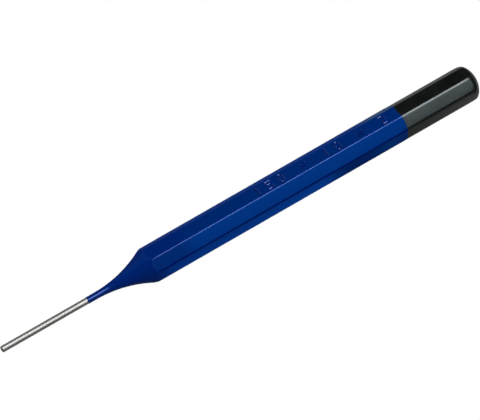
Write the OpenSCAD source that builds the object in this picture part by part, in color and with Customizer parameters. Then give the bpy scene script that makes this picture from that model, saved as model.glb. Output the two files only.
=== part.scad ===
/* [Overall] */
// Length from the tip of the pin to the crown of the head
overall_l = 150; // [120:1:200]

/* [Bar] */
// Width of the eight-sided steel bar between two opposite flats
bar_flats = 9.5; // [8:0.1:12]
// Radius of the eight rolled corners of the bar
corner_r = 0.3; // [0.15:0.05:0.8]

/* [Pin] */
// Diameter of the ground pin
pin_d = 1.8; // [1.2:0.1:4]
// Length of bright pin in front of the lacquer
pin_bare_l = 26.7; // [15:0.1:40]
// Length of the slightly tapered root of the neck, between the lacquer's edge and the flare
root_l = 2.7; // [1:0.1:6]
// Growth in radius along that root
root_rise = 0.015; // [0.005:0.005:0.1]
// Bevel round the tip of the pin
tip_bevel = 0.15; // [0.05:0.05:0.3]

/* [Neck] */
// Radius of the hollow flare turned between the pin and the bar, where it runs out on the flats
flare_r = 35.5; // [20:0.5:60]

/* [Head] */
// Radius of the ball-shaped crown that the hammer strikes
crown_r = 7; // [7:0.5:20]
// Radius that blends the crown into the sides of the head
crown_edge_r = 3; // [1:0.1:4]
// Length of the head end that is dipped in black lacquer
dip_l = 24; // [15:0.5:35]

/* [Coats] */
// Thickness of the blue lacquer on the neck and the shank
blue_t = 0.06; // [0.04:0.01:0.1]
// Thickness of the black lacquer on the head
black_t = 0.06; // [0.04:0.01:0.1]

/* [Size stamp] */
// Height of the stamped figures, between the middles of their strokes
figure_h = 2.4; // [1.5:0.1:2.8]
// Width of the stamped figures, between the middles of their strokes
figure_w = 1.5; // [1:0.1:1.8]
// Distance from one figure to the next
figure_pitch = 3.6; // [2.4:0.1:4]
// Width of a stamped stroke in the steel
stroke_w = 0.5; // [0.4:0.05:0.7]
// Depth of a stamped stroke
stroke_depth = 0.25; // [0.1:0.05:0.4]
// Distance from the crown of the head to the last figure of the stamp
stamp_from_head = 28.5; // [26:0.5:45]

/* [Hidden] */
$fn = 96;

sides = 8;
side_angle = 360 / sides;
// How far the turned outline stands clear of the bar's corners
turn_clear = 0.1;
// Extra length by which a cut runs past what it cuts
overrun = 1;

// Distance from the bar's axis to the middle of each corner's rounding, and to its outermost point
corner_at = (bar_flats / 2 - corner_r) / cos(side_angle / 2);
corner_reach = corner_at + corner_r;

// The turned outline, as radius from the axis and distance from the tip
pin_r = pin_d / 2;
turned_r = corner_reach + turn_clear;
root_r = pin_r + root_rise;
flare_from = pin_bare_l + root_l;
flare_sweep = acos((root_r + flare_r - turned_r) / flare_r);
flare_at = [root_r + flare_r, flare_from];
edge_sweep = acos((turned_r - crown_edge_r) / (crown_r - crown_edge_r));
crown_at = [0, overall_l - black_t - crown_r];
crown_edge_at = [turned_r - crown_edge_r, crown_at[1] + (crown_r - crown_edge_r) * sin(edge_sweep)];
dip_from = overall_l - dip_l;
// Degrees of arc from one point of a rounded outline to the next
fine_step = 1.5;
round_step = 5;
corner_step = 7.5;

// The lowest flat of the lacquered bar rests on the floor
axis_height = bar_flats / 2 + max(blue_t, black_t);
top_flat = axis_height + bar_flats / 2;

// Nominal length, width across the flats and pin diameter, as a plain size mark
stamp_figures = ["1", "5", "0", " ", "x", " ", "1", "0", " ", "x", " ", "2"];
figure_bowl_share = 0.3;
flag_share = 0.4;

// Points along an arc; first = 1 leaves out its start, where the stretch before it has ended
function arc(middle, r, from, to, step, first = 0) =
    let (count = ceil(abs(to - from) / step))
        [for (i = [first : count]) let (a = from + (to - from) * i / count) middle + r * [cos(a), sin(a)]];

// Middle of the rounding of one corner of the bar
function corner_middle(k) = let (a = (k + 0.5) * side_angle) corner_at * [cos(a), sin(a)];

// Cross-section of the bar, grown by the thickness of a coat
module bar_section(coat) {
    polygon([
        for (k = [0 : sides - 1])
            each arc(corner_middle(k), corner_r + coat, k * side_angle, (k + 1) * side_angle, corner_step)
    ]);
}

// Half of the turned outline, from the axis outwards, grown by the thickness of a coat
module turned_outline(coat) {
    polygon(concat(
        [[0, 0], [pin_r + coat - tip_bevel, 0], [pin_r + coat, tip_bevel], [pin_r + coat, pin_bare_l]],
        arc(flare_at, flare_r - coat, 180, 180 - flare_sweep, fine_step),
        arc(crown_edge_at, crown_edge_r + coat, 0, edge_sweep, round_step),
        arc(crown_at, crown_r + coat, edge_sweep, 90, round_step, 1)
    ));
}

// Lays a shape that stands along its axis down on the floor, with its middle at the origin
module lay_down() {
    translate([-overall_l / 2, 0, axis_height]) rotate([0, 90, 0]) children();
}

// The punch's outer form, grown by the thickness of a coat
module punch_form(coat) {
    lay_down()
        intersection() {
            rotate_extrude() turned_outline(coat);
            translate([0, 0, -overrun]) linear_extrude(overall_l + 2 * overrun) bar_section(coat);
        }
}

// A straight stamped stroke with round ends
module stroke(from, to, width) {
    run = to - from;
    for (end = [from, to]) translate(end) circle(d = width);
    translate(from) rotate(atan2(run[1], run[0])) translate([0, -width / 2]) square([norm(run), width]);
}

// A curved stamped stroke: the half of a ring that lies on the side that turn points to
module bow(middle, r, turn, width) {
    translate(middle) rotate(turn) intersection() {
        difference() {
            circle(r = r + width / 2);
            circle(r = r - width / 2);
        }
        translate([0, -r - width]) square(2 * (r + width));
    }
}

module figure_one(width) {
    flag = figure_w * flag_share;
    stroke([figure_w / 2, 0], [figure_w / 2, figure_h], width);
    stroke([figure_w / 2, figure_h], [figure_w / 2 - flag, figure_h - flag], width);
}

module figure_zero(width) {
    r = figure_w / 2;
    bow([r, figure_h - r], r, 90, width);
    bow([r, r], r, -90, width);
    for (x = [0, figure_w]) stroke([x, r], [x, figure_h - r], width);
}

module figure_two(width) {
    r = figure_h * figure_bowl_share;
    bow([figure_w - r, figure_h - r], r, 0, width);
    stroke([0, figure_h], [figure_w - r, figure_h], width);
    stroke([figure_w - r, figure_h - 2 * r], [0, 0], width);
    stroke([0, 0], [figure_w, 0], width);
}

module figure_five(width) {
    r = figure_h * figure_bowl_share;
    bow([figure_w - r, r], r, 0, width);
    stroke([figure_w - r, 0], [0, 0], width);
    stroke([figure_w - r, 2 * r], [0, 2 * r], width);
    stroke([0, 2 * r], [0, figure_h], width);
    stroke([0, figure_h], [figure_w, figure_h], width);
}

module figure_cross(width) {
    low = (figure_h - figure_w) / 2;
    stroke([0, low], [figure_w, low + figure_w], width);
    stroke([0, low + figure_w], [figure_w, low], width);
}

module figure(mark, width) {
    if (mark == "1") figure_one(width);
    if (mark == "0") figure_zero(width);
    if (mark == "2") figure_two(width);
    if (mark == "5") figure_five(width);
    if (mark == "x") figure_cross(width);
}

// The size mark as a cutting form, sunk into the top flat from the surface at a given height
module size_stamp(width, surface) {
    last = overall_l / 2 - stamp_from_head - figure_w;
    count = len(stamp_figures);
    for (i = [0 : count - 1])
        translate([last - (count - 1 - i) * figure_pitch, -figure_h / 2, surface - stroke_depth])
            linear_extrude(stroke_depth + overrun) figure(stamp_figures[i], width);
}

// Everything between two distances from the tip
module slice(from, to) {
    side = bar_flats + 2 * overrun;
    lay_down() translate([-side / 2, -side / 2, from]) cube([side, side, to - from]);
}

// The one-piece forging: pin, neck, eight-sided shank and crowned head
module steel_blank() {
    color("silver")
        difference() {
            punch_form(0);
            size_stamp(stroke_w, top_flat);
        }
}

// A coat on the steel, which also lines the stamped strokes
module coat(thickness, from, to) {
    difference() {
        intersection() {
            punch_form(thickness);
            slice(from, to);
        }
        steel_blank();
        size_stamp(stroke_w - 2 * thickness, top_flat + thickness);
    }
}

module blue_lacquer() {
    color("royalblue") coat(blue_t, pin_bare_l, dip_from);
}

module black_lacquer() {
    color("dimgray") coat(black_t, dip_from, overall_l + overrun);
}

steel_blank();
blue_lacquer();
black_lacquer();
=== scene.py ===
"""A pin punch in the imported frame: steel under two lacquers, in a pale studio with its camera."""

import logging
import math
from dataclasses import dataclass
from enum import Enum
from functools import reduce
from typing import Optional, Union

import bmesh
import bpy
from mathutils import Matrix, Vector, noise


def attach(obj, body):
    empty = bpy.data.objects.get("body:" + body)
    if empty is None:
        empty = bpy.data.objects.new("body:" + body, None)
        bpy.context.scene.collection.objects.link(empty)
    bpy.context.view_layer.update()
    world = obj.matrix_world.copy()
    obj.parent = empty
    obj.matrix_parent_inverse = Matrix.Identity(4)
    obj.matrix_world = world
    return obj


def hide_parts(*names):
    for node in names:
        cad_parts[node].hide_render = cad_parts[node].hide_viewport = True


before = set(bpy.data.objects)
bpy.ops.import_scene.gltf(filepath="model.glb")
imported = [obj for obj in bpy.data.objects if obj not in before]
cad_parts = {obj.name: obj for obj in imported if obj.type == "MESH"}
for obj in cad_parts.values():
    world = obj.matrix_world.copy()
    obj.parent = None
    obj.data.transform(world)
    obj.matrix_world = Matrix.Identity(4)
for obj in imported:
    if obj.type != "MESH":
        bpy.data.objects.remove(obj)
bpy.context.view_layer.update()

LOG = logging.getLogger("pin_punch")
MM = 0.001
ONE_BODY = "root"
MERGE_DISTANCE = 1e-6
HALF_FLATS = 4.75 * MM
COAT = 0.06 * MM
AXIS_HEIGHT = HALF_FLATS + COAT
NOISE_MIDDLE = 0.5
NOISE_SPAN = (0.3, 0.7)
WHITE = (1.0, 1.0, 1.0)
COOL = (0.88, 0.98, 1.0)

Span = tuple[float, float]
Point = tuple[float, float]
Stroke = tuple[Point, Point]
Colour = tuple[float, float, float]
Stops = tuple[tuple[float, Colour], ...]
Value = Union["Wire", float]
Tint = Union["Wire", Colour]


class Ray(Enum):
    """The kinds of ray that a stage material tells apart."""

    CAMERA = "Is Camera Ray"
    GLOSSY = "Is Glossy Ray"
    TRANSMISSION = "Is Transmission Ray"


class Wire:
    """A socket of a shader graph, on which plain arithmetic adds Math nodes."""

    def __init__(self, graph: "Graph", socket: bpy.types.NodeSocket) -> None:
        """Keeps an output socket and the graph that new nodes go into."""
        self.graph = graph
        self.socket = socket

    def _maths(self, operation: str, first: Value, second: Value = 0.0) -> "Wire":
        """The result of a Math node on one or two values."""
        return self.graph.node("ShaderNodeMath", {"operation": operation}, {0: first, 1: second})

    def __add__(self, other: Value) -> "Wire":
        """This value plus another."""
        return self._maths("ADD", self, other)

    def __radd__(self, other: Value) -> "Wire":
        """Another value plus this one."""
        return self._maths("ADD", other, self)

    def __sub__(self, other: Value) -> "Wire":
        """This value less another."""
        return self._maths("SUBTRACT", self, other)

    def __rsub__(self, other: Value) -> "Wire":
        """Another value less this one."""
        return self._maths("SUBTRACT", other, self)

    def __mul__(self, other: Value) -> "Wire":
        """This value times another."""
        return self._maths("MULTIPLY", self, other)

    def __rmul__(self, other: Value) -> "Wire":
        """Another value times this one."""
        return self._maths("MULTIPLY", other, self)

    def __truediv__(self, other: Value) -> "Wire":
        """This value over another."""
        return self._maths("DIVIDE", self, other)

    def __rtruediv__(self, other: Value) -> "Wire":
        """Another value over this one."""
        return self._maths("DIVIDE", other, self)

    def largest(self, other: Value) -> "Wire":
        """The larger of this value and another."""
        return self._maths("MAXIMUM", self, other)

    def direction(self, other: Value) -> "Wire":
        """The angle whose tangent is this value over another."""
        return self._maths("ARCTAN2", self, other)

    def folded(self, half_period: float) -> "Wire":
        """This value sent up and down between 0 and half a period."""
        return self._maths("PINGPONG", self, half_period)

    def root(self) -> "Wire":
        """The square root of this value."""
        return self._maths("SQRT", self)

    def cosine(self) -> "Wire":
        """The cosine of this value."""
        return self._maths("COSINE", self)

    def fade(self, low: float, high: float) -> "Wire":
        """A smooth step of this value, from 0 at the low place to 1 at the high one."""
        values = {"Value": self, "From Min": low, "From Max": high}
        return self.graph.node("ShaderNodeMapRange", {"interpolation_type": "SMOOTHSTEP"}, values)


class Graph:
    """The node tree of one material or of the world."""

    STOPS_OF_A_NEW_RAMP = 2
    # A Mix node has more than one socket of each name: these are the ones for colours.
    MIX_SHARE, MIX_FIRST, MIX_SECOND, MIX_RESULT = 0, 6, 7, 2

    def __init__(self, owner: Union[bpy.types.Material, bpy.types.World]) -> None:
        """Empties the owner's node tree and takes it over.

        Args:
            owner: the material or world to write the nodes for.
        """
        owner.use_nodes = True
        self.tree = owner.node_tree
        self.tree.nodes.clear()

    def node(
        self,
        kind: str,
        settings: dict[str, object],
        inputs: dict[Union[int, str], object],
        output: Union[int, str] = 0,
    ) -> Optional[Wire]:
        """Adds one node.

        Args:
            kind: the node's type.
            settings: attributes that are set first; stops fill a colour ramp.
            inputs: wires or plain values, by the name or number of their socket.
            output: the name or number of the socket to return.

        Returns:
            The wire that carries that output, or None where the node has no outputs.
        """
        made = self.tree.nodes.new(kind)
        for name, value in settings.items():
            if name == "stops":
                self._fill_ramp(made.color_ramp, value)
            else:
                setattr(made, name, value)
        for name, value in inputs.items():
            socket = made.inputs[name]
            if isinstance(value, Wire):
                self.tree.links.new(value.socket, socket)
            else:
                socket.default_value = (*value, 1.0) if socket.type == "RGBA" else value
        return Wire(self, made.outputs[output]) if made.outputs else None

    def _fill_ramp(self, ramp: bpy.types.ColorRamp, stops: Stops) -> None:
        """Sets the stops of a colour ramp.

        Args:
            ramp: the ramp, as it comes with a new node.
            stops: place and colour of each stop, in order.
        """
        for index, (place, colour) in enumerate(stops):
            ready = index < self.STOPS_OF_A_NEW_RAMP
            stop = ramp.elements[index] if ready else ramp.elements.new(place)
            stop.position, stop.color = place, (*colour, 1.0)

    def coordinates(self) -> Wire:
        """The place of a point in its own object."""
        return self.node("ShaderNodeTexCoord", {}, {}, "Object")

    def axes(self, vector: Wire) -> tuple[Wire, ...]:
        """The X, Y and Z of a vector."""
        made = self.node("ShaderNodeSeparateXYZ", {}, {"Vector": vector}).socket.node
        return tuple(Wire(self, output) for output in made.outputs)

    def stretched(self, scale: tuple[float, float, float]) -> Wire:
        """The place of a point, times a factor along each axis."""
        return self.node("ShaderNodeMapping", {}, {"Vector": self.coordinates(), "Scale": scale})

    def grain(self, size: float, detail: float, place: Optional[Wire] = None) -> Wire:
        """Noise with grains of a size in metres and some finer layers, mostly in NOISE_SPAN."""
        values = {"Vector": place or self.coordinates(), "Scale": 1.0 / size, "Detail": detail}
        return self.node("ShaderNodeTexNoise", {}, values, "Fac")

    def blend(self, share: Value, first: Tint, second: Tint) -> Wire:
        """A mix of two colours, in which the second has the given share."""
        values = {self.MIX_SHARE: share, self.MIX_FIRST: first, self.MIX_SECOND: second}
        return self.node("ShaderNodeMix", {"data_type": "RGBA"}, values, self.MIX_RESULT)

    def bump(self, height: Wire, depth: float) -> Wire:
        """The normal over a height, of which 1 stands for the depth in metres."""
        values = {"Height": height, "Distance": depth, "Strength": 1.0}
        return self.node("ShaderNodeBump", {}, values)

    def rays(self, *kinds: Ray) -> Wire:
        """A wire that carries 1 for rays of any of some kinds, and 0 for others."""
        found = [self.node("ShaderNodeLightPath", {}, {}, kind.value) for kind in kinds]
        return reduce(Wire.largest, found)

    def principled(self, inputs: dict[str, object]) -> None:
        """Ends a material's graph in a Principled shader with these inputs."""
        shader = self.node("ShaderNodeBsdfPrincipled", {}, inputs)
        self.node("ShaderNodeOutputMaterial", {}, {"Surface": shader})


def smooth_step(low: float, high: float, value: float) -> float:
    """A step without corners, from 0 at the low place to 1 at the high one."""
    share = min(max((value - low) / (high - low), 0.0), 1.0)
    return share * share * (3.0 - 2.0 * share)


def soft_least(first: float, second: float, reach: float) -> float:
    """The smaller of two lengths, with a rounded change from one to the other.

    Args:
        first: one length.
        second: the other.
        reach: how far apart they are where the rounding starts.

    Returns:
        The blended length.
    """
    if reach <= 0.0 or abs(first - second) >= reach:
        return min(first, second)
    share = 0.5 + 0.5 * (second - first) / reach
    return second + (first - second) * share - reach * share * (1.0 - share)


@dataclass(frozen=True)
class BarSection:
    """The cross-section of the eight-sided bar: faintly crowned flats between rounded corners."""

    half_flats: float
    corner_radius: float
    flat_crown: float
    sides: int = 8

    def corner(self, coat: float) -> tuple[float, float, float]:
        """Works out one corner's arc.

        Args:
            coat: the coat's thickness.

        Returns:
            The flat's own radius, the distance from the axis to the middle of the corner's
            rounding, and the angle from the middle of the flat at which the rounding starts.
        """
        half_turn = math.pi / self.sides
        reach = self.half_flats * math.tan(half_turn)
        flat_radius = reach * reach / (2.0 * self.flat_crown) + coat
        rounding = self.corner_radius + coat
        back = flat_radius - self.half_flats - coat
        across = back * math.cos(half_turn)
        at = math.sqrt(across * across - back * back + (flat_radius - rounding) ** 2) - across
        lean = math.atan2(at * math.sin(half_turn), at * math.cos(half_turn) + back)
        start = math.atan2(flat_radius * math.sin(lean), flat_radius * math.cos(lean) - back)
        return flat_radius, at, start

    def half_flat_width(self) -> float:
        """Half the width of a flat, from its middle to where the corner's rounding starts."""
        return self.half_flats * math.tan(self.corner(0.0)[2])

    def radius(self, angle: float, coat: float) -> float:
        """The distance from the axis to the surface.

        Args:
            angle: the direction from the axis, from the middle of the top flat.
            coat: the coat's thickness.

        Returns:
            That distance.
        """
        side_angle = math.tau / self.sides
        off_flat = abs((angle + side_angle / 2.0) % side_angle - side_angle / 2.0)
        flat_radius, at, start = self.corner(coat)
        if off_flat < start:
            middle, arc, turned = self.half_flats + coat - flat_radius, flat_radius, off_flat
        else:
            middle, arc, turned = at, self.corner_radius + coat, side_angle / 2.0 - off_flat
        return middle * math.cos(turned) + math.sqrt(arc * arc - (middle * math.sin(turned)) ** 2)


@dataclass(frozen=True)
class SizeStamp:
    """The punch's nominal sizes in plain figures, sunk into the top flat."""

    marks: str = "150 x 10 x 2"
    height: float = 2.4 * MM
    width: float = 1.5 * MM
    pitch: float = 3.6 * MM
    stroke_width: float = 0.6 * MM
    depth: float = 0.145 * MM
    last_edge: float = 121.5 * MM
    bowl_share: float = 0.3
    flag_share: float = 0.4
    bow_parts: int = 8

    def first_edge(self) -> float:
        """Where the first figure starts, from the tip."""
        return self.last_edge - self.width - (len(self.marks) - 1) * self.pitch

    def _bow(self, middle: Point, radius: float, turn: float) -> list[Stroke]:
        """The half of a ring that lies on one side.

        Args:
            middle: the middle of the ring.
            radius: its radius.
            turn: the direction of that side.

        Returns:
            Its short straight strokes.
        """
        x, y = middle
        steps = range(self.bow_parts + 1)
        angles = [turn - math.pi / 2.0 + math.pi * step / self.bow_parts for step in steps]
        points = [(x + radius * math.cos(angle), y + radius * math.sin(angle)) for angle in angles]
        return list(zip(points, points[1:]))

    def _figure(self, mark: str) -> list[Stroke]:
        """The strokes of one figure, from its lower left corner.

        Args:
            mark: the figure.

        Returns:
            The strokes, none for a blank.
        """
        wide, high = self.width, self.height
        bowl = high * self.bowl_share
        flag = wide * self.flag_share
        low = (high - wide) / 2.0
        if mark == "1":
            top = (wide / 2.0, high)
            return [((wide / 2.0, 0.0), top), (top, (wide / 2.0 - flag, high - flag))]
        if mark == "0":
            r = wide / 2.0
            sides = [((x, r), (x, high - r)) for x in (0.0, wide)]
            upper = self._bow((r, high - r), r, math.pi / 2.0)
            return sides + upper + self._bow((r, r), r, -math.pi / 2.0)
        if mark == "2":
            strokes = [((0.0, high), (wide - bowl, high)), ((0.0, 0.0), (wide, 0.0))]
            strokes.append(((wide - bowl, high - 2.0 * bowl), (0.0, 0.0)))
            return strokes + self._bow((wide - bowl, high - bowl), bowl, 0.0)
        if mark == "5":
            strokes = [((wide - bowl, y), (0.0, y)) for y in (0.0, 2.0 * bowl)]
            strokes += [((0.0, 2.0 * bowl), (0.0, high)), ((0.0, high), (wide, high))]
            return strokes + self._bow((wide - bowl, bowl), bowl, 0.0)
        if mark == "x":
            return [((0.0, low), (wide, low + wide)), ((0.0, low + wide), (wide, low))]
        return []

    def _gap(self, stroke: Stroke, along: float, across: float) -> float:
        """The distance from a point to a stroke's middle line.

        Args:
            stroke: the stroke's two ends.
            along: the point's first coordinate.
            across: its second.

        Returns:
            That distance.
        """
        (x0, y0), (x1, y1) = stroke
        run_x, run_y = x1 - x0, y1 - y0
        share = ((along - x0) * run_x + (across - y0) * run_y) / (run_x * run_x + run_y * run_y)
        share = min(max(share, 0.0), 1.0)
        return math.hypot(along - x0 - share * run_x, across - y0 - share * run_y)

    def clearance(self, along: float, across: float) -> float:
        """How far a point of the flat is from the nearest stroke.

        Args:
            along: the point's distance from the tip.
            across: its distance from the middle of the flat.

        Returns:
            The distance to the stroke's middle line, endless where no figure is near.
        """
        margin, half = self.stroke_width, self.height / 2.0
        start = along - self.first_edge()
        index = int((start + margin) // self.pitch)
        if not 0 <= index < len(self.marks) or abs(across) > half + margin:
            return math.inf
        local = start - index * self.pitch
        strokes = self._figure(self.marks[index])
        gaps = [self._gap(stroke, local, across + half) for stroke in strokes]
        return min(gaps, default=math.inf)

    def sunk(self, along: float, across: float) -> float:
        """How deep a sharp-bottomed stroke sinks a point of the flat, 0 beside the strokes."""
        share = 1.0 - 2.0 * self.clearance(along, across) / self.stroke_width
        return self.depth * max(0.0, share)


@dataclass(frozen=True)
class Fineness:
    """How finely the mesh is cut: the pieces of each stretch, and the rows round the bar."""

    end_parts: int = 3
    bevel_parts: int = 2
    pin_parts: int = 24
    root_parts: int = 5
    flare_parts: int = 30
    late_flare_share: float = 0.14
    late_flare_parts: int = 40
    shoulder_run: float = 0.6 * MM
    shoulder_parts: int = 4
    shank_spacing: float = 0.9 * MM
    stamp_margin: float = 1.2 * MM
    stamp_spacing: float = 0.38 * MM
    stamp_cuts: int = 4
    border_parts: int = 4
    lip_run: float = 4 * MM
    lip_parts: int = 8
    head_parts: int = 20
    crown_edge_parts: int = 30
    crown_parts: int = 14
    flat_columns: int = 8
    top_columns: int = 14
    corner_columns: int = 6
    hold: float = 0.04 * MM


@dataclass(frozen=True)
class PunchForm:
    """The punch's whole outer form, measured from the tip of the pin to the crown of the head."""

    length: float = 150 * MM
    axis_height: float = AXIS_HEIGHT
    coat: float = COAT
    pin_radius: float = 0.9 * MM
    tip_bevel: float = 0.15 * MM
    pin_length: float = 26.7 * MM
    root_length: float = 2.7 * MM
    root_rise: float = 0.015 * MM
    flare_radius: float = 35.5 * MM
    flare_clear: float = 0.35 * MM
    crown_clear: float = 0.1 * MM
    crown_radius: float = 7 * MM
    crown_edge_radius: float = 3 * MM
    dip_from: float = 126 * MM
    section_change: Span = (-1.6 * MM, -0.4 * MM)
    neck_softness: float = 0.3 * MM
    neck_softness_run: float = 1.5 * MM
    head_softness: float = 0.35 * MM
    head_softness_run: float = 3 * MM
    wave_height: float = 0.012 * MM
    wave_length: float = 7 * MM
    wave_round: float = 4 * MM
    wave_share: Span = (0.6, 0.95)
    edge_wave: float = 0.05 * MM
    edge_waves: tuple[tuple[float, float, float], ...] = ((1.0, 2.0, 0.7), (0.6, 5.0, 2.0))
    pin_edge_run: float = 1.2 * MM
    dip_edge_run: float = 2 * MM
    dip_wave: float = 0.2 * MM
    dip_waves: float = 4.0
    dip_phase: float = 2.79
    dip_creep: float = 0.44 * MM
    shank: BarSection = BarSection(HALF_FLATS, 0.5 * MM, 0.02 * MM)
    head: BarSection = BarSection(HALF_FLATS, 1.3 * MM, 0.03 * MM)
    stamp: SizeStamp = SizeStamp()
    fine: Fineness = Fineness()

    def corner_reach(self) -> float:
        """The distance from the axis to the outermost point of the bare bar's corners."""
        return self.shank.radius(math.pi / self.shank.sides, 0.0)

    def coated_flat(self) -> float:
        """The distance from the axis to a lacquered flat."""
        return self.shank.half_flats + self.coat

    def flare_from(self) -> float:
        """Where the hollow flare starts, from the tip."""
        return self.pin_length + self.root_length

    def flare_middle(self) -> float:
        """The distance from the axis to the middle of the flare's arc."""
        return self.pin_radius + self.root_rise + self.flare_radius

    def flare_sweep(self) -> float:
        """The angle through which the flare turns."""
        rise = self.corner_reach() + self.flare_clear - self.pin_radius - self.root_rise
        return math.acos(1.0 - rise / self.flare_radius)

    def flare_to(self) -> float:
        """Where the flare's arc ends, from the tip."""
        return self.flare_from() + self.flare_radius * math.sin(self.flare_sweep())

    def crown_points(self) -> tuple[float, float, float]:
        """Works out the head's arcs.

        Returns:
            The middle of the crown along the axis, that of the arc at its edge, and the angle
            between the axis' square and the point where they meet.
        """
        turned = self.corner_reach() + self.crown_clear
        reach = self.crown_radius - self.crown_edge_radius
        sweep = math.acos((turned - self.crown_edge_radius) / reach)
        crown_at = self.length - self.coat - self.crown_radius
        return crown_at, crown_at + reach * math.sin(sweep), sweep

    def column_angles(self, section: BarSection) -> list[float]:
        """The direction of each lengthwise row of points, from the middle of the top flat.

        Args:
            section: the cross-section whose corners get close rows.

        Returns:
            The angles, in rising order from 0.
        """
        fine = self.fine
        side_angle = math.tau / section.sides
        reach = section.half_flat_width()
        inner = reach - fine.hold
        angles = []
        for side in range(section.sides):
            parts = fine.top_columns if side == 0 else fine.flat_columns
            held = [inner * (2.0 * step / (parts - 2) - 1.0) for step in range(parts - 1)]
            flat = [math.atan2(y, section.half_flats) for y in [-reach, *held, reach]]
            corner = [
                flat[-1] + (side_angle - 2.0 * flat[-1]) * step / fine.corner_columns
                for step in range(1, fine.corner_columns)
            ]
            angles += [(side * side_angle + angle) % math.tau for angle in flat + corner]
        return sorted(angles)

    def surface_radius(self, along: float, angle: float, turned: float, coat: float) -> float:
        """Cuts the turned outline down to the bar.

        Args:
            along: the distance from the tip.
            angle: the direction from the axis.
            turned: the turned outline's radius there.
            coat: the coat's thickness.

        Returns:
            The distance from the axis to the surface.
        """
        before, after = self.section_change
        share = smooth_step(self.dip_from + before, self.dip_from + after, along)
        bar = self.shank.radius(angle, coat) * (1.0 - share) + self.head.radius(angle, coat) * share
        neck_end, crown_from = self.flare_to(), self.crown_points()[1]
        past_neck = smooth_step(neck_end, neck_end + self.neck_softness_run, along)
        near_crown = smooth_step(crown_from - self.head_softness_run, crown_from, along)
        softness = self.neck_softness * (1.0 - past_neck) + self.head_softness * near_crown
        radius = soft_least(turned, bar, softness)
        return radius - self._dent(along, angle) * smooth_step(*self.wave_share, radius / bar)

    def _dent(self, along: float, angle: float) -> float:
        """How far the forged flats dip at a point.

        Args:
            along: the distance from the tip.
            angle: the direction from the axis.

        Returns:
            The dip, from 0 to the height of the waves.
        """
        across, up = self.wave_round * math.sin(angle), self.wave_round * math.cos(angle)
        dip = 0.5 + 0.5 * noise.noise(Vector((along, across, up)) / self.wave_length)
        return self.wave_height * min(max(dip, 0.0), 1.0)

    def edge_shift(self, along: float, angle: float) -> float:
        """How far the uneven edge of a coat wanders along the punch.

        Args:
            along: the distance from the tip.
            angle: the direction from the axis.

        Returns:
            The shift, which fades out away from the edges.
        """
        near_dip = 1.0 - smooth_step(0.0, self.dip_edge_run, abs(along - self.dip_from))
        near_pin = 1.0 - smooth_step(0.0, self.pin_edge_run, abs(along - self.pin_length))
        waves = [share * math.sin(count * angle + phase) for share, count, phase in self.edge_waves]
        wave = self.edge_wave * sum(waves)
        dip = self.dip_wave * math.cos(self.dip_waves * angle + self.dip_phase) - self.dip_creep
        return (wave + dip) * near_dip + wave * near_pin


@dataclass(frozen=True)
class Lacquer:
    """A glossy lacquer on forged steel, with the faint unevenness of a dipped coat."""

    name: str
    colour: Colour
    deep_colour: Colour
    metallic: float
    shine: float
    shine_tint: Colour
    roughness: float
    roughness_spread: float = 0.1
    film_roughness: float = 0.1
    cloud_size: float = 5 * MM
    cloud_detail: float = 3.0
    dust_size: float = 0.16 * MM
    dust_detail: float = 1.0
    peel_size: float = 0.9 * MM
    peel_detail: float = 1.0
    peel_depth: float = 0.0016 * MM

    def base_colour(self, graph: Graph, cloud: Wire) -> Wire:
        """The colour of the coat, deeper where the cloud says that it is thick."""
        return graph.blend(cloud, self.deep_colour, self.colour)

    def metal(self, graph: Graph) -> Value:
        """How much of the metal shows through, the same everywhere."""
        return self.metallic

    def gloss(self, graph: Graph) -> Value:
        """How much clear film lies on the coat, which is none."""
        return 0.0

    def material(self) -> bpy.types.Material:
        """Writes the material.

        Returns:
            The new material.
        """
        made = bpy.data.materials.new(self.name)
        graph = Graph(made)
        cloud = graph.grain(self.cloud_size, self.cloud_detail).fade(*NOISE_SPAN)
        dust = graph.grain(self.dust_size, self.dust_detail)
        peel = graph.grain(self.peel_size, self.peel_detail)
        rough = self.roughness + (cloud - NOISE_MIDDLE) * self.roughness_spread
        values = {
            "Base Color": self.base_colour(graph, cloud),
            "Roughness": rough + (dust - NOISE_MIDDLE) * self.roughness_spread,
            "Metallic": self.metal(graph),
            "Coat Weight": self.gloss(graph),
            "Coat Roughness": self.film_roughness,
            "Specular IOR Level": self.shine,
            "Specular Tint": self.shine_tint,
            "Normal": graph.bump(peel, self.peel_depth),
        }
        graph.principled(values)
        return made


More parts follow.
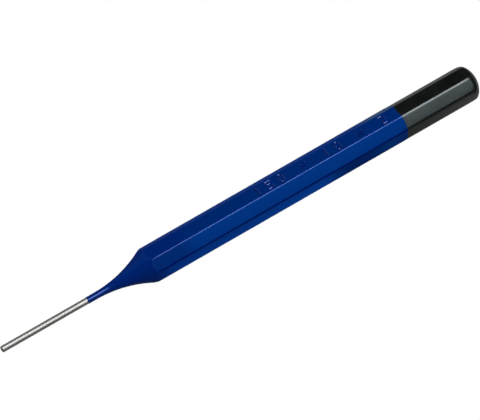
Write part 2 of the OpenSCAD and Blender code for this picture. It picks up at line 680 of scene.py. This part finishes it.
@dataclass(frozen=True)
class ShankLacquer(Lacquer):
    """The lacquer of neck and shank: painted shade in the hollow, glassy on edges and in strokes.

    Places are measured along the punch from its middle, and across and up from its axis.
    """

    form: PunchForm = PunchForm()
    # Darker colours that paint shade on the neck, and in its hollow and on the flats next to it.
    neck_shade_colour: Colour = (0.0003, 0.0255, 0.215)
    hollow_shade_colour: Colour = (0.0003, 0.0195, 0.185)
    # Painted shade along the lower corners and in the strokes, with its share in each.
    corner_and_stroke_shade_colour: Colour = (0.0001, 0.0065, 0.135)
    corner_shade_share: float = 0.92
    stroke_shade_share: float = 0.75
    hollow_metallic: float = 0.05
    edge_film: float = 0.32
    thin_film: float = 0.42
    stroke_film: float = 0.5
    rim_film: float = 0.08
    thin_end: Span = (-45 * MM, -40.5 * MM)
    neck_end: Span = (-30 * MM, -16 * MM)
    bar_start: Span = (-30 * MM, -26 * MM)
    hollow_end: Span = (-21.5 * MM, -14 * MM)
    side_top: Span = (1.7 * MM, 2 * MM)
    corner_start: Span = (math.radians(19.6), math.radians(20.4))
    low_corner_top: Span = (2.5 * MM, 3.5 * MM)
    stroke_top: Span = (0.04 * MM, 0.07 * MM)
    stroke_bottom: Span = (0.4 * MM, 0.5 * MM)
    stamp_edge: Span = (1.6 * MM, 1.7 * MM)
    rim_edge: Span = (0.2 * MM, 0.4 * MM)
    rim_drop: Span = (0.04 * MM, 0.09 * MM)

    def _place(self, graph: Graph) -> tuple[Wire, Wire, Wire]:
        """The place of a point along the punch, across it and up from its axis."""
        along, across, up = graph.axes(graph.coordinates())
        return along, across, up - self.form.axis_height

    def _off_flat(self, across: Wire, up: Wire) -> Wire:
        """The angle round the axis to the middle of the nearest flat."""
        return across.direction(up).folded(math.pi / self.form.shank.sides)

    def _corner(self, graph: Graph) -> Wire:
        """A wire that carries 1 on the rounded corners of the bar."""
        along, across, up = self._place(graph)
        return along.fade(*self.bar_start) * self._off_flat(across, up).fade(*self.corner_start)

    def _stroke(self, graph: Graph) -> Wire:
        """Finds the stamped strokes.

        Args:
            graph: the material's graph.

        Returns:
            The wire that carries 1 there.
        """
        along, across, up = self._place(graph)
        depth = self.form.coated_flat() - up
        sunk = depth.fade(*self.stroke_top) * (1.0 - depth.fade(*self.stroke_bottom))
        narrow = 1.0 - (across * across).root().fade(*self.stamp_edge)
        return along.fade(*self.bar_start) * sunk * narrow

    def _shaded_hollow(self, graph: Graph) -> Wire:
        """Finds the hollow of the neck and the flats next to it, which get painted shade.

        Args:
            graph: the material's graph.

        Returns:
            The wire that carries 1 there, and 0 on the bar's upright sides.
        """
        along, _, up = self._place(graph)
        side = along.fade(*self.bar_start) * (1.0 - up.fade(*self.side_top))
        inside = along.fade(*self.thin_end) * (1.0 - along.fade(*self.hollow_end))
        return inside * (1.0 - side)

    def _rim(self, graph: Graph) -> Wire:
        """Finds the ring where the flats start, next to the flare.

        Args:
            graph: the material's graph.

        Returns:
            The wire that carries 1 on the flats' side of that ring.
        """
        form = self.form
        along, across, up = self._place(graph)
        reach = (across * across + up * up).root()
        below_flat = form.coated_flat() - reach * self._off_flat(across, up).cosine()
        run = along - (form.flare_from() - form.length / 2.0)
        rise = reach - form.flare_middle()
        past_flare = (run * run + rise * rise).root() - (form.flare_radius - form.coat)
        return (1.0 - past_flare.fade(*self.rim_edge)) * (1.0 - below_flat.fade(*self.rim_drop))

    def base_colour(self, graph: Graph, cloud: Wire) -> Wire:
        """The coat's colour, with painted shade on the neck, in the strokes and on the lower
        corners.

        Args:
            graph: the material's graph.
            cloud: how thin the coat is, from 0 to 1.

        Returns:
            The wire that carries the colour.
        """
        along, _, up = self._place(graph)
        shank_colour = super().base_colour(graph, cloud)
        # Painted shade on the neck, then in its hollow and on the flats next to it.
        plain = graph.blend(along.fade(*self.neck_end), self.neck_shade_colour, shank_colour)
        plain = graph.blend(self._shaded_hollow(graph), plain, self.hollow_shade_colour)
        # Painted shade along the lower corners and in the strokes.
        low_corner_shade = self._corner(graph) * (1.0 - up.fade(*self.low_corner_top))
        shaded = (low_corner_shade * self.corner_shade_share).largest(self._stroke(graph) * self.stroke_shade_share)
        return graph.blend(shaded, plain, self.corner_and_stroke_shade_colour)

    def metal(self, graph: Graph) -> Wire:
        """How much of the metal shows through: less in the hollow of the neck."""
        shaded = self._shaded_hollow(graph) * (1.0 - self._corner(graph))
        return self.metallic + shaded * (self.hollow_metallic - self.metallic)

    def gloss(self, graph: Graph) -> Wire:
        """How much clear film lies on the upper edges, in the strokes, at the pin and on the rim.

        Args:
            graph: the material's graph.

        Returns:
            The wire that carries the film's share.
        """
        along, _, up = self._place(graph)
        edge = self._corner(graph) * up.fade(*self.low_corner_top)
        thin = 1.0 - along.fade(*self.thin_end)
        film = edge * self.edge_film + self._stroke(graph) * self.stroke_film
        return (film + thin * self.thin_film).largest(self._rim(graph) * self.rim_film)


@dataclass(frozen=True)
class GroundSteel:
    """Bright ground steel, with fine marks of the wheel running round the pin."""

    name: str = "ground_steel"
    colour: Colour = (0.525, 0.515, 0.5)
    dull_colour: Colour = (0.465, 0.455, 0.44)
    roughness: float = 0.5
    roughness_spread: float = 0.06
    mark_size: float = 0.12 * MM
    mark_depth: float = 0.00012 * MM
    mark_stretch: tuple[float, float, float] = (1.0, 0.06, 0.06)
    cloud_size: float = 2.2 * MM
    detail: float = 2.0

    def material(self) -> bpy.types.Material:
        """Writes the material.

        Returns:
            The new material.
        """
        made = bpy.data.materials.new(self.name)
        graph = Graph(made)
        marks = graph.grain(self.mark_size, self.detail, graph.stretched(self.mark_stretch))
        cloud = graph.grain(self.cloud_size, self.detail).fade(*NOISE_SPAN)
        values = {
            "Base Color": graph.blend(cloud, self.dull_colour, self.colour),
            "Roughness": self.roughness + (marks - NOISE_MIDDLE) * self.roughness_spread,
            "Metallic": 1.0,
            "Normal": graph.bump(marks, self.mark_depth),
        }
        graph.principled(values)
        return made


@dataclass(frozen=True)
class PaleFloor:
    """The studio floor: pale under lamps, white for the camera, a glowing painted reflection when
    mirrored.
    """

    name: str = "pale_floor"
    colour: Colour = (0.5, 0.5, 0.5)
    # The camera sees the white emission at this share of this strength, and the lit floor with
    # the punch's shadow for the rest: 1 in all.
    camera_share: float = 0.98
    camera_white: float = 1.012
    mirror_from: float = -100 * MM
    mirror_to: float = 100 * MM
    # Painted reflections: glowing bands of colour along and across the floor that only mirrored
    # rays see; they paint what the lacquer and the pin reflect.
    front_painted_reflection: Stops = (
        (0.30, (0.22, 0.21, 0.20)),
        (0.36, (0.08, 0.10, 0.12)),
        (0.39, (0.08, 0.45, 1.1)),
        (0.625, (0.1, 0.75, 1.6)),
        (0.665, (0.03, 0.04, 0.06)),
        (0.70, (0.05, 0.08, 0.14)),
        (0.735, (0.1, 0.35, 0.5)),
        (0.755, (0.17, 0.17, 0.17)),
        (0.87, (0.37, 0.36, 0.35)),
    )
    back_painted_reflection: Stops = (
        (0.33, (0.08, 0.08, 0.08)),
        (0.37, (0.05, 0.09, 0.35)),
        (0.72, (0.05, 0.09, 0.35)),
        (0.75, (0.26, 0.27, 0.26)),
    )
    back_start: Span = (-2 * MM, 2 * MM)
    far_painted_reflection: Colour = (0.14, 0.14, 0.14)
    far_end: Span = (-10.5 * MM, -8.5 * MM)

    def material(self) -> bpy.types.Material:
        """Writes the material.

        Returns:
            The new material.
        """
        made = bpy.data.materials.new(self.name)
        graph = Graph(made)
        plain = graph.node("ShaderNodeBsdfDiffuse", {}, {"Color": self.colour})
        white = graph.node("ShaderNodeEmission", {}, {"Strength": self.camera_white})
        along, across, _ = graph.axes(graph.coordinates())
        along = (along - self.mirror_from) / (self.mirror_to - self.mirror_from)
        front = graph.node("ShaderNodeValToRGB", {"stops": self.front_painted_reflection}, {"Fac": along})
        back = graph.node("ShaderNodeValToRGB", {"stops": self.back_painted_reflection}, {"Fac": along})
        front = graph.blend(across.fade(*self.far_end), self.far_painted_reflection, front)
        colour = graph.blend(across.fade(*self.back_start), front, back)
        # The painted reflection glows for mirrored rays only.
        mirrored = graph.node("ShaderNodeEmission", {}, {"Color": colour})
        glossy = graph.rays(Ray.GLOSSY, Ray.TRANSMISSION)
        seen = graph.rays(Ray.CAMERA) * self.camera_share
        shader = graph.node("ShaderNodeMixShader", {}, {0: glossy, 1: plain, 2: mirrored})
        shader = graph.node("ShaderNodeMixShader", {}, {0: seen, 1: shader, 2: white})
        graph.node("ShaderNodeOutputMaterial", {}, {"Surface": shader})
        return made


class Outline:
    """A turned outline, drawn point by point in the plane above the axis."""

    def __init__(self, along: float, radius: float, axis_height: float) -> None:
        """Starts the outline at one point.

        Args:
            along: the first point's distance from the tip.
            radius: its distance from the axis.
            axis_height: how high the axis lies.
        """
        self.bm = bmesh.new()
        self.axis_height = axis_height
        self.last = self.bm.verts.new((along, 0.0, axis_height + radius))

    def run(self, along: float, radius: float, parts: int = 1) -> "Outline":
        """Draws a straight stretch.

        Args:
            along: its end's distance from the tip.
            radius: its end's distance from the axis.
            parts: how many pieces it is cut into.

        Returns:
            The outline itself.
        """
        start, end = self.last.co.copy(), Vector((along, 0.0, self.axis_height + radius))
        for part in range(1, parts + 1):
            self.last = bmesh.ops.extrude_vert_indiv(self.bm, verts=[self.last])["verts"][0]
            self.last.co = start.lerp(end, part / parts)
        return self

    def turn(self, along: float, radius: float, angle: float, parts: int) -> "Outline":
        """Draws an arc from the last point.

        Args:
            along: the middle's distance from the tip.
            radius: the middle's distance from the axis, which may be beyond the outline.
            angle: how far the arc turns, in radians, towards the head and inwards.
            parts: how many pieces it has.

        Returns:
            The outline itself.
        """
        made = bmesh.ops.spin(
            self.bm,
            geom=[self.last],
            cent=(along, 0.0, self.axis_height + radius),
            axis=(0.0, 1.0, 0.0),
            angle=angle,
            steps=parts,
        )
        self.last = next(end for end in made["geom_last"] if isinstance(end, bmesh.types.BMVert))
        return self

    def spun(self, columns: int) -> bmesh.types.BMesh:
        """Spins the outline round the axis.

        Args:
            columns: how many strips go round.

        Returns:
            The closed surface, with its poles merged and its faces pointing outwards.
        """
        bmesh.ops.spin(
            self.bm,
            geom=self.bm.verts[:] + self.bm.edges[:],
            cent=(0.0, 0.0, self.axis_height),
            axis=(1.0, 0.0, 0.0),
            angle=math.tau,
            steps=columns,
            use_merge=True,
        )
        bmesh.ops.remove_doubles(self.bm, verts=self.bm.verts[:], dist=MERGE_DISTANCE)
        bmesh.ops.recalc_face_normals(self.bm, faces=self.bm.faces[:])
        return self.bm


class Stretch(Enum):
    """The stretches of the punch that a piece can cover."""

    PIN = "pin"
    NECK = "neck"
    SHANK = "shank"
    HEAD = "head"


@dataclass(frozen=True)
class PunchPiece:
    """One smooth piece of the punch: a spun outline, cut down to the eight flats and stamped."""

    name: str
    node: str
    slot: str
    stretches: tuple[Stretch, ...]
    finish: Union[Lacquer, GroundSteel]
    coat: float = 0.0
    form: PunchForm = PunchForm()
    lip_angle: float = math.radians(70.0)
    lip_bevel: float = 0.02 * MM
    lip_segments: int = 2
    stamped_share: float = 0.8

    def _clear(self, gap: float) -> float:
        """The radius that stands clear of the coated bar's corners by a gap."""
        return self.form.corner_reach() + self.coat + gap

    def _draw_pin(self, drawn: Outline) -> None:
        """Draws the end and the side of the pin.

        Args:
            drawn: the outline, which stands at the middle of the tip.
        """
        form, fine = self.form, self.form.fine
        radius = form.pin_radius + self.coat
        flat = radius - form.tip_bevel
        drawn.run(0.0, flat - fine.hold, fine.end_parts).run(0.0, flat)
        drawn.run(form.tip_bevel, radius, fine.bevel_parts).run(form.tip_bevel + fine.hold, radius)
        drawn.run(form.pin_length, radius, fine.pin_parts)

    def _draw_neck(self, drawn: Outline) -> None:
        """Draws the root of the neck and the hollow flare, finer where it meets the flats.

        Args:
            drawn: the outline, which stands at the end of the pin.
        """
        form, fine = self.form, self.form.fine
        start, middle, sweep = form.flare_from(), form.flare_middle(), form.flare_sweep()
        late = sweep * fine.late_flare_share
        drawn.run(start, form.pin_radius + form.root_rise + self.coat, fine.root_parts)
        drawn.turn(start, middle, late - sweep, fine.flare_parts)
        drawn.turn(start, middle, -late, fine.late_flare_parts)

    def _draw_shank(self, drawn: Outline) -> None:
        """Draws the shank, finer along the stamp and next to its ends.

        Args:
            drawn: the outline, which stands at the end of the flare.
        """
        form, fine = self.form, self.form.fine
        start, side = form.flare_to(), self._clear(form.flare_clear)
        stamp_from = form.stamp.first_edge() - fine.stamp_margin
        stamp_to = form.stamp.last_edge + fine.stamp_margin
        drawn.run(start + fine.shoulder_run, side, fine.shoulder_parts)
        drawn.run(stamp_from, side, round((stamp_from - start) / fine.shank_spacing))
        drawn.run(stamp_to, side, round((stamp_to - stamp_from) / fine.stamp_spacing))
        drawn.run(form.dip_from - fine.hold, side, fine.border_parts).run(form.dip_from, side)

    def _draw_head(self, drawn: Outline) -> None:
        """Draws the head and its crown.

        Args:
            drawn: the outline, which stands at the border of the two coats.
        """
        form, fine = self.form, self.form.fine
        crown_at, edge_at, sweep = form.crown_points()
        side, crown_side = self._clear(form.flare_clear), self._clear(form.crown_clear)
        drawn.run(form.dip_from + fine.hold, side)
        drawn.run(form.dip_from + fine.lip_run, side, fine.lip_parts)
        drawn.run(edge_at, crown_side, fine.head_parts)
        edge_middle = crown_side - self.coat - form.crown_edge_radius
        drawn.turn(edge_at, edge_middle, sweep, fine.crown_edge_parts)
        drawn.turn(crown_at, 0.0, math.pi / 2.0 - sweep, fine.crown_parts)

    def outline(self) -> Outline:
        """Draws the turned outline of the piece.

        Returns:
            The outline, from the tip's side to the head.
        """
        form = self.form
        starts = {
            Stretch.PIN: (0.0, 0.0),
            Stretch.NECK: (form.pin_length, form.pin_radius + self.coat),
            Stretch.HEAD: (form.dip_from, self._clear(form.flare_clear)),
        }
        steps = {
            Stretch.PIN: self._draw_pin,
            Stretch.NECK: self._draw_neck,
            Stretch.SHANK: self._draw_shank,
            Stretch.HEAD: self._draw_head,
        }
        drawn = Outline(*starts[self.stretches[0]], form.axis_height)
        for stretch in self.stretches:
            steps[stretch](drawn)
        return drawn

    def build(self) -> bpy.types.Object:
        """Builds the piece's mesh.

        Returns:
            The object, at the origin, with its place in its mesh.
        """
        form, has_shank = self.form, Stretch.SHANK in self.stretches
        columns = form.column_angles(form.shank if has_shank else form.head)
        bm = self.outline().spun(len(columns))
        self._spread_columns(bm, columns)
        if has_shank:
            self._refine_stamp(bm)
        self._cut_flats(bm)
        if self.coat:
            self._give_wall(bm)
        bmesh.ops.translate(bm, verts=bm.verts[:], vec=(-form.length / 2.0, 0.0, 0.0))
        for face in bm.faces:
            face.smooth = True
        return link_mesh(self.name, bm)

    def _spread_columns(self, bm: bmesh.types.BMesh, columns: list[float]) -> None:
        """Turns each lengthwise row of points to its own direction.

        Args:
            bm: the spun surface.
            columns: the directions, in rising order.
        """
        step = math.tau / len(columns)
        height = self.form.axis_height
        for vert in bm.verts:
            radius = math.hypot(vert.co.y, vert.co.z - height)
            index = round(math.atan2(vert.co.y, vert.co.z - height) / step) % len(columns)
            angle = columns[index]
            vert.co.y, vert.co.z = radius * math.sin(angle), height + radius * math.cos(angle)

    def _refine_stamp(self, bm: bmesh.types.BMesh) -> None:
        """Cuts the faces under the stamp smaller.

        Args:
            bm: the spun surface.
        """
        form, fine, stamp = self.form, self.form.fine, self.form.stamp
        half = form.shank.half_flat_width() - fine.hold
        edges = set()
        for face in bm.faces:
            middle = face.calc_center_median()
            if middle.z > form.axis_height and abs(middle.y) < half:
                if stamp.clearance(middle.x, middle.y) < stamp.stroke_width:
                    edges.update(face.edges)
        bmesh.ops.subdivide_edges(
            bm, edges=list(edges), cuts=fine.stamp_cuts, use_grid_fill=True, use_single_edge=True
        )

    def _cut_flats(self, bm: bmesh.types.BMesh) -> None:
        """Moves each point of the spun surface in to the flats, the waves and the stamp.

        Args:
            bm: the spun surface.
        """
        form, height = self.form, self.form.axis_height
        for vert in bm.verts:
            across, up = vert.co.y, vert.co.z - height
            turned = math.hypot(across, up)
            if turned < form.pin_radius:
                continue
            along, angle = vert.co.x, math.atan2(across, up)
            radius = form.surface_radius(along, angle, turned, self.coat)
            shift = form.edge_shift(along, angle) if self.coat else 0.0
            across = radius * math.sin(angle)
            sunk = form.stamp.sunk(along, across) if up > self.stamped_share * turned else 0.0
            vert.co = (along + shift, across, height + radius * math.cos(angle) - sunk)

    def _give_wall(self, bm: bmesh.types.BMesh) -> None:
        """Gives the coat its thickness, inwards, and rounds its lips.

        Args:
            bm: the coat's outer surface.
        """
        bmesh.ops.solidify(bm, geom=bm.faces[:], thickness=self.coat)
        bmesh.ops.recalc_face_normals(bm, faces=bm.faces[:])
        sharp = [e for e in bm.edges if e.is_manifold and e.calc_face_angle() > self.lip_angle]
        lips = [edge for edge in sharp if edge.calc_face_angle_signed() > 0.0]
        bmesh.ops.bevel(
            bm,
            geom=lips,
            offset=self.lip_bevel,
            segments=self.lip_segments,
            profile=0.5,
            affect="EDGES",
            material=-1,
        )

    def dress(self, made: bpy.types.Object) -> None:
        """Gives the piece its finish and its place in the frame.

        Args:
            made: the piece's object.
        """
        made.data.materials.append(self.finish.material())
        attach(made, ONE_BODY)
        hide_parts(self.node)


BLUE_LACQUER = ShankLacquer(
    name="blue_lacquer",
    colour=(0.0003, 0.0325, 0.235),
    deep_colour=(0.0003, 0.0295, 0.218),
    metallic=0.25,
    shine=0.07,
    shine_tint=(0.1, 1.0, 1.0),
    roughness=0.18,
)
BLACK_LACQUER = Lacquer(
    name="black_lacquer",
    colour=(0.0036, 0.0046, 0.0043),
    deep_colour=(0.0028, 0.0036, 0.0034),
    metallic=0.0,
    shine=0.84,
    shine_tint=(0.92, 1.0, 1.02),
    roughness=0.26,
)


@dataclass(frozen=True)
class Punch:
    """The whole punch."""

    pieces: tuple[PunchPiece, ...] = (
        PunchPiece("steel_forging", "steel_blank", "ground_steel", tuple(Stretch), GroundSteel()),
        PunchPiece(
            "blue_coat",
            "blue_lacquer",
            "blue_lacquer",
            (Stretch.NECK, Stretch.SHANK),
            BLUE_LACQUER,
            COAT,
        ),
        PunchPiece(
            "black_coat", "black_lacquer", "black_lacquer", (Stretch.HEAD,), BLACK_LACQUER, COAT
        ),
    )

    def build(self) -> None:
        """Builds and dresses every piece."""
        for piece in self.pieces:
            made = piece.build()
            piece.dress(made)
            LOG.info("%s: %d faces", piece.name, len(made.data.polygons))


@dataclass(frozen=True)
class Softbox:
    """A soft rectangular lamp that faces the punch, with its width along the punch."""

    name: str
    heading: float
    lean: float
    width: float
    height: float
    colour: Colour
    radiance: float
    distance: float = 1.0

    def build(self) -> None:
        """Hangs the lamp."""
        lamp = bpy.data.lights.new(self.name, "AREA")
        lamp.shape, lamp.size, lamp.size_y = "RECTANGLE", self.width, self.height
        lamp.energy = self.radiance * math.pi * self.width * self.height
        lamp.color = self.colour
        made = bpy.data.objects.new(self.name, lamp)
        away = Matrix.Translation((0.0, 0.0, self.distance))
        made.matrix_world = facing(self.heading, self.lean) @ away
        made.visible_camera = False
        bpy.context.scene.collection.objects.link(made)
        LOG.info("%s hung", self.name)


@dataclass(frozen=True)
class Studio:
    """The floor, the lamps and the world round the punch."""

    floor_half: float = 6.0
    floor_gap: float = 0.02 * MM
    floor: PaleFloor = PaleFloor()
    world_grey: float = 0.1
    mirrored_grey: float = 0.03
    mirrored_back: float = 0.38
    back_from: Span = (0.72, 1.0)
    lamps: tuple[Softbox, ...] = (
        Softbox("key_softbox", 13.0, 17.5, 0.46, 0.44, WHITE, 8.0),
        Softbox("middle_card", 13.0, 37.0, 0.46, 0.24, COOL, 2.6),
        Softbox("front_card", 13.0, 51.75, 0.46, 0.27, COOL, 1.5),
        Softbox("back_fill", -42.0, -38.0, 1.6, 1.1, WHITE, 0.85),
    )

    def build(self) -> None:
        """Lays the floor, hangs the lamps and sets the world."""
        self._lay_floor()
        for lamp in self.lamps:
            lamp.build()
        self._set_world()
        bpy.context.scene.view_settings.view_transform = "Standard"

    def _lay_floor(self) -> None:
        """Lays the floor just under the punch."""
        bm = bmesh.new()
        place = Matrix.Translation((0.0, 0.0, -self.floor_gap))
        bmesh.ops.create_grid(bm, x_segments=1, y_segments=1, size=self.floor_half, matrix=place)
        made = link_mesh("studio_floor", bm)
        made.data.materials.append(self.floor.material())

    def _set_world(self) -> None:
        """Sets a dim grey room, darker in reflections and white for the camera."""
        world = bpy.data.worlds.new("studio_world")
        bpy.context.scene.world = world
        graph = Graph(world)
        greys = (self.world_grey, self.mirrored_grey, self.mirrored_back)
        room, dark, dim = ((grey,) * 3 for grey in greys)
        _, back, up = graph.axes(graph.node("ShaderNodeTexCoord", {}, {}, "Generated"))
        mirrored = graph.blend((back - up).fade(*self.back_from), dark, dim)
        colour = graph.blend(graph.rays(Ray.GLOSSY, Ray.TRANSMISSION), room, mirrored)
        colour = graph.blend(graph.rays(Ray.CAMERA), colour, WHITE)
        light = graph.node("ShaderNodeBackground", {}, {"Color": colour, "Strength": 1.0})
        graph.node("ShaderNodeOutputWorld", {}, {"Surface": light})


@dataclass(frozen=True)
class PhotoCamera:
    """The camera, at the photograph's viewing angle, with a long lens."""

    tilt: float = 16.5
    side_lean: float = 33.0
    roll: float = 29.81
    pixels_per_metre: float = 3789.6
    image_width: float = 480.0
    distance: float = 3.0
    clip_end: float = 12.0
    sensor: float = 36.0
    centre_along: float = 0.448 * MM
    centre_up: float = 0.705 * MM
    axis_height: float = AXIS_HEIGHT

    def build(self) -> None:
        """Places the camera."""
        data = bpy.data.cameras.new("photo_camera")
        data.sensor_width = self.sensor
        data.lens = self.sensor * self.distance * self.pixels_per_metre / self.image_width
        data.clip_end = self.clip_end
        made = bpy.data.objects.new("photo_camera", data)
        target = Matrix.Translation((self.centre_along, 0.0, self.axis_height))
        away = Matrix.Translation((0.0, self.centre_up, self.distance))
        roll = Matrix.Rotation(math.radians(-self.roll), 4, "Z")
        made.matrix_world = target @ facing(-self.tilt, self.side_lean) @ away @ roll
        bpy.context.scene.collection.objects.link(made)
        bpy.context.scene.camera = made


def facing(heading: float, lean: float) -> Matrix:
    """The turn of a lamp or camera, by its degrees towards the head and over to the front."""
    turn, tip = math.radians(heading), math.radians(lean)
    return Matrix.Rotation(tip, 4, "X") @ Matrix.Rotation(turn, 4, "Y")


def link_mesh(name: str, bm: bmesh.types.BMesh) -> bpy.types.Object:
    """Makes an object of a finished surface and links it to the scene.

    Args:
        name: the name of the object and of its mesh.
        bm: the surface, which is freed.

    Returns:
        The object, at the origin.
    """
    mesh = bpy.data.meshes.new(name)
    bm.to_mesh(mesh)
    bm.free()
    made = bpy.data.objects.new(name, mesh)
    bpy.context.scene.collection.objects.link(made)
    return made


def main() -> None:
    """Builds the punch and its studio."""
    logging.basicConfig(level=logging.INFO, format="%(message)s")
    PhotoCamera().build()
    Punch().build()
    Studio().build()


if __name__ == "__main__":
    main()
